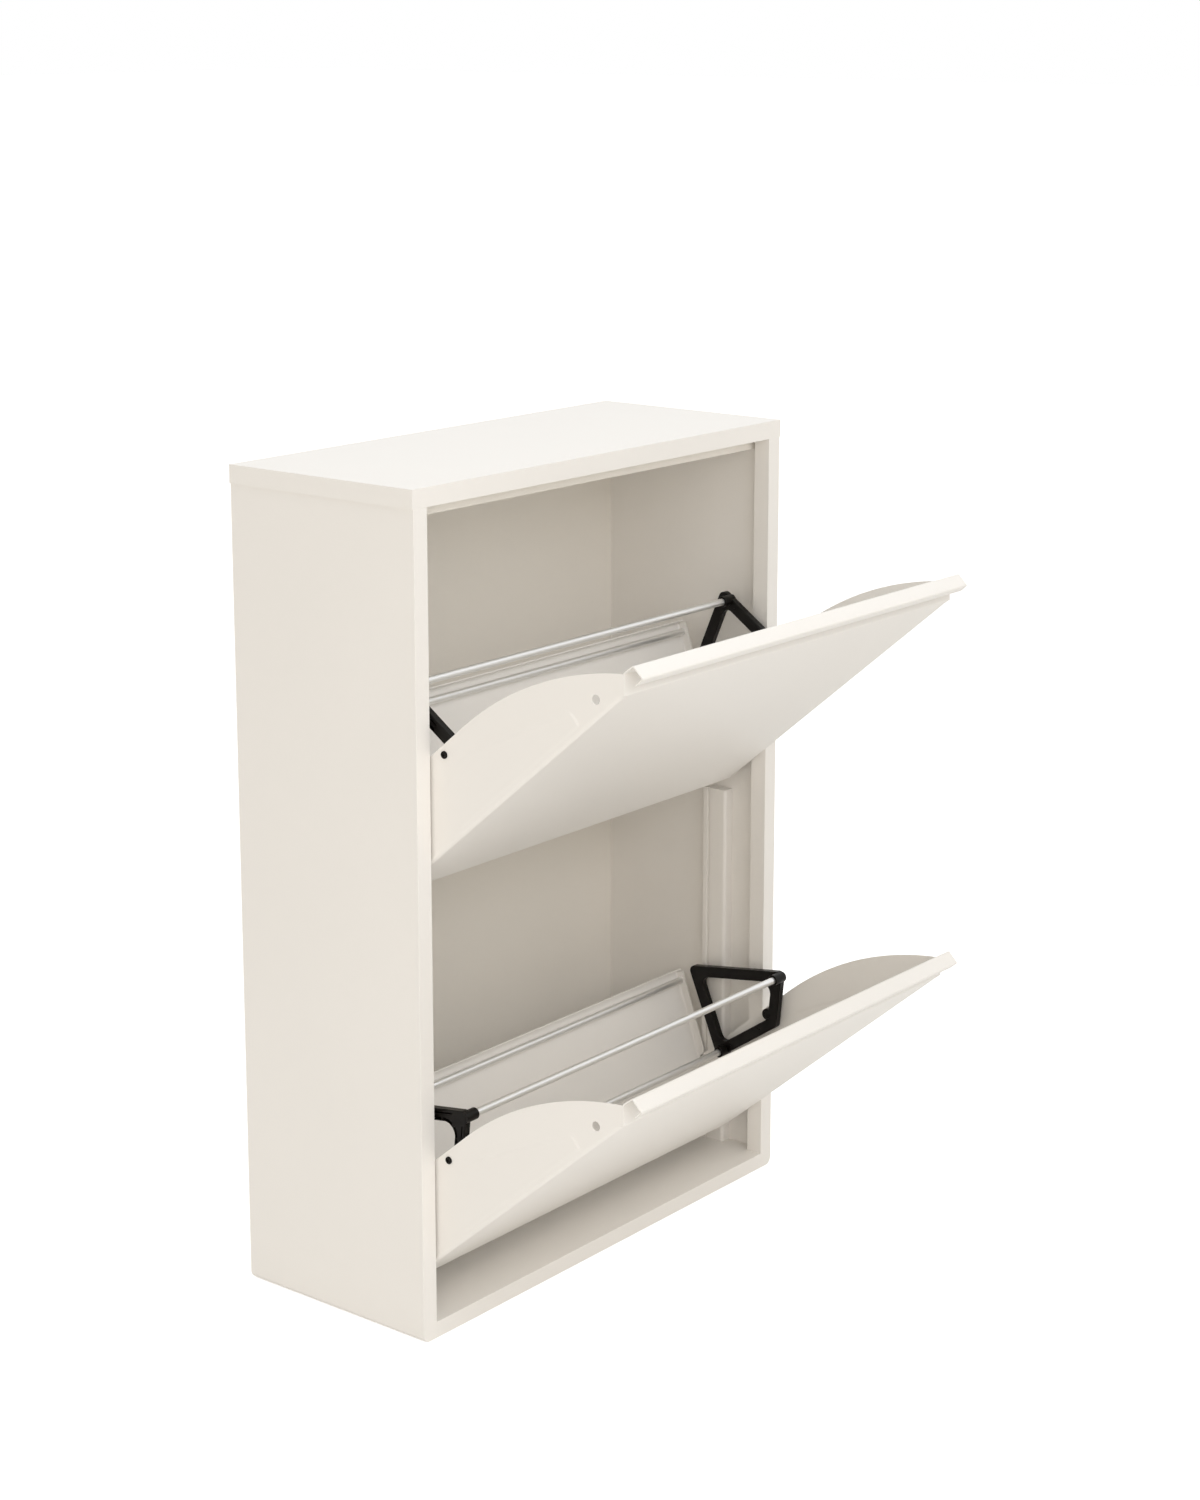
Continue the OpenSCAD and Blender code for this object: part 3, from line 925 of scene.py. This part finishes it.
def bracket_shell(size, x_in, x_out):
    """The right bracket: a loop of bars, grooved outside, with collars for the rods."""
    shell = Shell()
    reach = size.bar_width / 2
    steps = 12
    sharp = [0] * len(LOOP)
    face = x_out - BOSS_STAND
    places = (
        (size.chamfer, x_in),
        (0, x_in + size.chamfer),
        (0, face - size.chamfer),
        (size.chamfer, face),
    )
    levels = []
    for inset, x in places:
        outer = shell.add_loop(rounded_loop(LOOP, sharp, inset - reach, steps), x)
        levels.append((outer, shell.add_loop(window_loop(size, inset, steps), x)))
    for a, b in zip(levels, levels[1:]):
        shell.band(a[0], b[0])
        shell.band(a[1], b[1])
    nut = NUT_RADIUS + SLACK
    seat = x_in + NUT_DEPTH + SLACK
    centre = Vector((0, 0))
    rings = [(nut, x_in), (nut, seat), (SCREW_BORE, seat), (SCREW_BORE, face)]
    rows = [shell.add_loop(ring(centre, radius, 36), x) for radius, x in rings]
    shell.sleeve(rows)
    shell.cap(*levels[0], rows[0])
    grooves = []
    for path, width in groove_paths(size):
        left, right = strip_sides(path, width)
        rim = shell.add_loop(left + right[::-1], face)
        base = shell.add_loop(left + right[::-1], face - size.groove_depth)
        shell.band(rim, base)
        count = len(path)
        shell.band(base[:count], base[count:][::-1], closed=False)
        grooves.append(rim)
    shell.cap(*levels[3], rows[3], *grooves)
    shell.join(tube(face - 1 * MM, x_out, size.boss_radius - BOSS_RIM, SCREW_BORE))
    for place in (REAR_ROD, FRONT_ROD):
        shell.join(lathe(collar_profile(size, x_in, face), place, 48))
    shell.join(lathe(dimple_profile(x_in), side_point(0, 0.78, 1 * MM), 24))
    return shell


def collar_profile(size, x_in, face):
    """A rod collar: a stepped, round-shouldered socket."""
    radius = size.collar_radius
    front = x_in - size.collar_length
    shoulder = 1.2 * MM
    rounded = [
        (front + shoulder * (1 - math.sin(a)), radius - shoulder * (1 - math.cos(a)))
        for a in (math.pi / 2 * (1 - k / 5) for k in range(6))
    ]
    rim = [
        (front + 1.2 * MM, ROD_BORE),
        (front + 0.3 * MM, ROD_BORE + 0.2 * MM),
        (front, ROD_BORE + 0.6 * MM),
    ]
    back = [(face - 0.5 * MM, radius), (face - 0.5 * MM, 0)]
    seat = [(x_in + ROD_SEAT, 0), (x_in + ROD_SEAT, ROD_BORE)]
    return seat + rim + rounded + back


def dimple_profile(x_in):
    """A round moulding mark standing just proud of the inner face."""
    return [
        (x_in + 0.5 * MM, 0),
        (x_in + 0.5 * MM, 2.3 * MM),
        (x_in - 0.25 * MM, 2.2 * MM),
        (x_in - 0.35 * MM, 2.0 * MM),
        (x_in - 0.35 * MM, 1.5 * MM),
        (x_in - 0.05 * MM, 1.3 * MM),
        (x_in - 0.05 * MM, 0),
    ]


# ------------------------------ operators


class SHOE_OT_boards(bpy.types.Operator):
    """Rounds the edges of the carcass boards and lacquers them"""

    bl_idname = "shoe.boards"
    bl_label = "Boards"

    def execute(self, context):
        size = context.scene.shoe_carcass
        outside = ("top_panel", "left_side_panel", "right_side_panel", "bottom_board")
        for node in outside:
            eased_board(node, size.edge_round)
        inside = ("back_panel", "wall_rail", "top_front_rail", "left_rear_batten")
        inside += ("right_rear_batten", "left_mid_stile", "right_mid_stile")
        for node in inside:
            eased_board(node, size.inner_round, 2)
        return {"FINISHED"}


class SHOE_OT_front_sheets(bpy.types.Operator):
    """Bends the pockets' front sheets, with their lips and finger recesses"""

    bl_idname = "shoe.front_sheets"
    bl_label = "Front Sheets"

    def execute(self, context):
        section = PocketSection()
        for level in LEVELS:
            pocket_piece(front_sheet_shell(section), level, "front_panel")
        return {"FINISHED"}


class SHOE_OT_side_plates(bpy.types.Operator):
    """Cuts and presses the pockets' side plates"""

    bl_idname = "shoe.side_plates"
    bl_label = "Side Plates"

    def execute(self, context):
        section = PocketSection()
        for level in LEVELS:
            for name, side in SIDES.items():
                shell = side_plate_shell(section, level, side)
                pocket_piece(shell, level, name + "_side_plate", 50)
        return {"FINISHED"}


class SHOE_OT_floor_sheets(bpy.types.Operator):
    """Folds the pockets' floors and lays their toe rods"""

    bl_idname = "shoe.floor_sheets"
    bl_label = "Floor Sheets"

    def execute(self, context):
        section = PocketSection()
        for level in LEVELS:
            pocket_piece(floor_sheet_shell(section), level, "floor_sheet")
            round_bar(level + "_toe_rod")
        return {"FINISHED"}


def round_bar(node):
    """A rod turned to the size of its CAD node."""
    low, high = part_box(node)
    radius = (high.z - low.z) / 2
    piece(tube(low.x, high.x, radius, 0, box_centre(node)[1:], 0.5 * MM, 64), node)


class SHOE_OT_hinges(bpy.types.Operator):
    """Turns the hinge pins, bushes and stop studs"""

    bl_idname = "shoe.hinges"
    bl_label = "Hinges and Stops"

    def execute(self, context):
        section = PocketSection()
        inner = section.width - section.size.sheet
        bushes = Shell()
        for level in LEVELS:
            pins = Shell()
            pin_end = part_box(level + "_hinge_pins")[1].x
            pins.join_both(lathe, rivet_profile(inner, pin_end), (0, 0), 32)
            pocket_piece(pins, level, "hinge_pins")
            self.studs(level, inner, section.width)
            hinge = JOINTS[level + "_pocket_tilt"]["pos_m"][1:]
            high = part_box("hinge_bushes")[1]
            bushes.join_both(lathe, bush_profile(section.width, high.x), hinge)
        piece(bushes, "hinge_bushes")
        return {"FINISHED"}

    def studs(self, level, inner, outer):
        """Two stop studs on each side plate, riveted through from outside."""
        node = level + "_stop_studs"
        mesh_data = frame["nodes"][node].data
        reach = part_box(node)[1].x
        tips = [v.co for v in mesh_data.vertices if v.co.x > reach - 1e-5]
        places = [shut_place(level, tip) for tip in tips]
        shell = Shell()
        for above in (True, False):
            group = [p for p in places if (p.y > 0) == above]
            centre = [(min(axis) + max(axis)) / 2 for axis in zip(*group)]
            shell.join_both(lathe, stud_profile(inner, outer, reach), centre, 36)
        pocket_piece(shell, level, "stop_studs")


PIN_HEAD = 6 * MM
SHANK_RADIUS = 2.5 * MM
STUD_RADIUS = 5 * MM
BUSH_RADIUS = 5 * MM
BUSH_FLANGE = 8 * MM
POST_GAP = 2.5 * MM


def rivet_profile(inner, end):
    """A hinge pin with a domed head on the inside of the plate."""
    crown = 1.5 * MM
    dome = [
        (inner - crown * math.cos(a), PIN_HEAD * math.sin(a)) for a in (0, 0.4, 0.8, 1.2, 1.5)
    ]
    return dome + [
        (inner, PIN_HEAD),
        (inner, PIN_RADIUS),
        (end - 0.6 * MM, PIN_RADIUS),
        (end, 2.4 * MM),
        (end, 0),
    ]


def stud_profile(inner, outer, end):
    """A stop stud with a rounded end outside and a riveted head inside."""
    return [
        (inner - 1.2 * MM, 0),
        (inner - 1.2 * MM, 3 * MM),
        (inner - 0.7 * MM, 4.2 * MM),
        (inner, 4.5 * MM),
        (inner, SHANK_RADIUS),
        (outer, SHANK_RADIUS),
        (outer, STUD_RADIUS),
        (end - 1.2 * MM, STUD_RADIUS),
        (end - 0.4 * MM, 4.6 * MM),
        (end, 3.6 * MM),
        (end, 0),
    ]


def bush_profile(plate, end):
    """A flanged bush."""
    post = plate + POST_GAP
    bore = PIN_RADIUS + 0.06 * MM
    return [
        (post - 1 * MM, bore),
        (post - 1 * MM, BUSH_FLANGE - 0.4 * MM),
        (post - 0.6 * MM, BUSH_FLANGE),
        (post, BUSH_FLANGE),
        (post, BUSH_RADIUS),
        (end, BUSH_RADIUS),
        (end, bore),
    ]


def socket_shape(turn, k):
    """Makes points 1 and 2 of a screw head's profile, the socket's wall, six-sided."""
    if k not in (1, 2):
        return 1
    sector = math.pi / 3
    return math.cos(sector / 2) / math.cos((turn % sector) - sector / 2)


def screw_profile(outer, head, tail):
    """A pivot screw, from the floor of its six-sided socket to its tail."""
    top = outer + 1.7 * MM
    floor = outer + 0.5 * MM
    return [
        (floor, 0),
        (floor, 1.9 * MM),
        (top - 0.1 * MM, 1.9 * MM),
        (top, 2.3 * MM),
        (top, head - 0.9 * MM),
        (top - 0.25 * MM, head - 0.3 * MM),
        (top - 0.7 * MM, head),
        (outer, head),
        (outer, SCREW_RADIUS),
        (tail, SCREW_RADIUS),
        (tail, 0),
    ]


class SHOE_OT_pivots(bpy.types.Operator):
    """Turns the screws, spacers and nuts that the dividers swivel on"""

    bl_idname = "shoe.pivots"
    bl_label = "Divider Pivots"

    def execute(self, context):
        section = PocketSection()
        collar = context.scene.shoe_divider.collar_length
        for level in LEVELS:
            pivot = shut_place(level, JOINTS[level + "_divider_turn"]["pos_m"])
            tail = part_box(level + "_right_bracket")[0].x + collar
            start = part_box(level + "_right_bracket")[1].x + SLACK
            low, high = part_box(level + "_pivot_screws")
            head = (high.z - low.z) / 2
            screws, nuts, spacers = Shell(), Shell(), Shell()
            profile = screw_profile(section.width, head, tail)
            screws.join_both(lathe, profile, pivot, 36, socket_shape)
            nuts.join_both(tube, tail, tail + NUT_DEPTH, NUT_RADIUS, SCREW_RADIUS, pivot, 0.5 * MM)
            end = section.width - section.size.sheet
            spacers.join_both(tube, start, end, SPACER_RADIUS, SCREW_BORE, pivot, 0.4 * MM)
            pocket_piece(screws, level, "pivot_screws")
            pocket_piece(nuts, level, "pivot_nuts")
            pocket_piece(spacers, level, "pivot_spacers")
        return {"FINISHED"}


class SHOE_OT_dividers(bpy.types.Operator):
    """Moulds the divider brackets and fits their rods"""

    bl_idname = "shoe.dividers"
    bl_label = "Dividers"

    def execute(self, context):
        size = context.scene.shoe_divider
        for level in LEVELS:
            low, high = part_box(level + "_right_bracket")
            for name, side in SIDES.items():
                shell = bracket_shell(size, low.x + size.collar_length, high.x).mirrored(side)
                piece(shell, f"{level}_{name}_bracket", divider_matrix(level), 30)
            for rod in ("front_rod", "rear_rod"):
                round_bar(f"{level}_{rod}")
        return {"FINISHED"}


def cross_shape(turn, k):
    """Makes the inner points of a screw head's profile a cross."""
    if k > 2:
        return 1
    waist = 0.38
    return waist + (1 - waist) * abs(math.cos(2 * turn)) ** 6


class SHOE_OT_fixings(bpy.types.Operator):
    """Drives the back panel's screws and finishes the hidden dowels"""

    bl_idname = "shoe.fixings"
    bl_label = "Fixings"

    def execute(self, context):
        low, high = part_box("back_panel_screws")
        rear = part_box("back_panel")[1].y
        head = context.scene.shoe_carcass.screw_head
        radius = 3.5 * MM
        shank = radius / 2
        profile = [
            (rear + head * 0.2, 0),
            (rear + head * 0.2, 1.5 * MM),
            (rear + head, 1.7 * MM),
            (rear + head, 2.4 * MM),
            (rear + head * 0.6, 3.3 * MM),
            (rear, radius),
            (rear, shank),
            (low.y, shank),
            (low.y, 0),
        ]
        shell = Shell()
        for z in (low.z + radius, high.z - radius):
            for k in range(4):
                x = low.x + radius + (high.x - low.x - 2 * radius) * k / 3
                screw = lathe(profile, (0, 0), 32, cross_shape)
                screw.points = [(x - b, a, z + c) for a, b, c in screw.points]
                shell.join(screw)
        piece(shell, "back_panel_screws")
        coat(frame["nodes"]["corner_dowels"].data, "beech_dowel")
        return {"FINISHED"}


class SHOE_OT_stage(bpy.types.Operator):
    """Sets the pale floor, the soft lamps, the white surroundings and the camera"""

    bl_idname = "shoe.stage"
    bl_label = "Stage"

    def execute(self, context):
        scene = context.scene
        scene.view_settings.view_transform = "Standard"
        self.floor(scene)
        self.surroundings(scene)
        self.lamps(scene)
        self.camera(scene)
        return {"FINISHED"}

    def floor(self, scene):
        """A wide floor that meets the white surroundings and keeps the soft shadow."""
        reach = 40
        mesh_data = bpy.data.meshes.new("studio_floor")
        corners = [(-reach, -reach, 0), (reach, -reach, 0), (reach, reach, 0), (-reach, reach, 0)]
        mesh_data.from_pydata(corners, [], [(0, 1, 2, 3)])
        material, graph = fresh("pale_floor")
        shine = graph.node(
            "BsdfPrincipled", {}, {"Base Color": tuple(scene.shoe_finish.floor), "Roughness": 0.8}
        )
        glow = graph.node("LightPath", output="Is Camera Ray") * scene.shoe_studio.glow
        glow = graph.node("Emission", {}, {"Color": (1, 1, 1), "Strength": glow})
        both = graph.node("AddShader", {}, {0: shine, 1: glow})
        graph.node("OutputMaterial", {}, {"Surface": both})
        mesh_data.materials.append(material)
        ground = added("studio_floor", mesh_data)

    def surroundings(self, scene):
        """Even light, and pure white where the camera, metal or glass sees past the floor."""
        scene.world = bpy.data.worlds.new("studio")
        graph = Graph(scene.world)
        seen = graph.node("LightPath", output="Is Camera Ray")
        for name in ("Is Glossy Ray", "Is Transmission Ray"):
            ray = graph.node("LightPath", output=name)
            seen = graph.node("Math", {"operation": "MAXIMUM"}, {0: seen, 1: ray})
        studio = scene.shoe_studio
        colour = graph.blend(seen, tinted(studio.tint, studio.ambient), (1, 1, 1))
        light = graph.node("Background", {}, {"Color": colour, "Strength": 1.0})
        graph.node("OutputWorld", {}, {"Surface": light})

    def lamps(self, scene):
        """Broad lamps above the cabinet, above its front and to the left of its front."""
        studio = scene.shoe_studio
        target = Vector((0, -0.1, 0.5))
        lamps = (
            ("top_lamp", (0, 0, 4), 3.0, studio.top, (0.87, 0.925, 1.0)),
            ("front_lamp", (-0.8, -3.0, 3.0), 2.5, studio.front, (0.92, 0.945, 1.0)),
            ("side_lamp", (-3.0, -2.5, 1.4), 2.2, studio.side, (1.0, 0.90, 0.81)),
        )
        for name, place, width, power, colour in lamps:
            data = bpy.data.lights.new(name, "AREA")
            data.shape = "SQUARE"
            data.size = width
            data.energy = power
            data.color = colour
            lamp = added(name, data)
            lamp.location = place
            lamp.rotation_euler = (target - Vector(place)).to_track_quat("-Z", "Y").to_euler()

    def camera(self, scene):
        """A camera at standing height, to the left of the front."""
        data = bpy.data.cameras.new("camera")
        data.sensor_width = 36
        data.lens = scene.shoe_studio.lens
        data.shift_y = -0.1
        data.clip_end = 200
        eye = added("camera", data)
        eye.location = (-2.362, -2.016, 1.368)
        eye.rotation_euler = (math.radians(78.273), 0, math.radians(-51.148))
        scene.camera = eye


OPERATORS = (
    SHOE_OT_boards,
    SHOE_OT_front_sheets,
    SHOE_OT_side_plates,
    SHOE_OT_floor_sheets,
    SHOE_OT_hinges,
    SHOE_OT_pivots,
    SHOE_OT_dividers,
    SHOE_OT_fixings,
    SHOE_OT_stage,
)


class SHOE_PT_panel(bpy.types.Panel):
    """Lists the cabinet's sizes, finishes and building steps"""

    bl_idname = "SHOE_PT_panel"
    bl_label = "Shoe Cabinet"
    bl_space_type = "VIEW_3D"
    bl_region_type = "UI"
    bl_category = "Shoe Cabinet"

    def draw(self, context):
        layout = self.layout
        for name, group in GROUPS.items():
            box = layout.box()
            for key in group.__annotations__:
                box.prop(getattr(context.scene, name), key)
        for operator in OPERATORS:
            layout.operator(operator.bl_idname)


CLASSES = (*GROUPS.values(), *OPERATORS, SHOE_PT_panel)


def register():
    for cls in CLASSES:
        bpy.utils.register_class(cls)
    for name, group in GROUPS.items():
        setattr(bpy.types.Scene, name, PointerProperty(type=group))


def unregister():
    for name in GROUPS:
        delattr(bpy.types.Scene, name)
    for cls in reversed(CLASSES):
        bpy.utils.unregister_class(cls)


def main():
    register()
    for operator in OPERATORS:
        getattr(bpy.ops.shoe, operator.bl_idname.split(".")[1])()


if __name__ == "__main__":
    main()
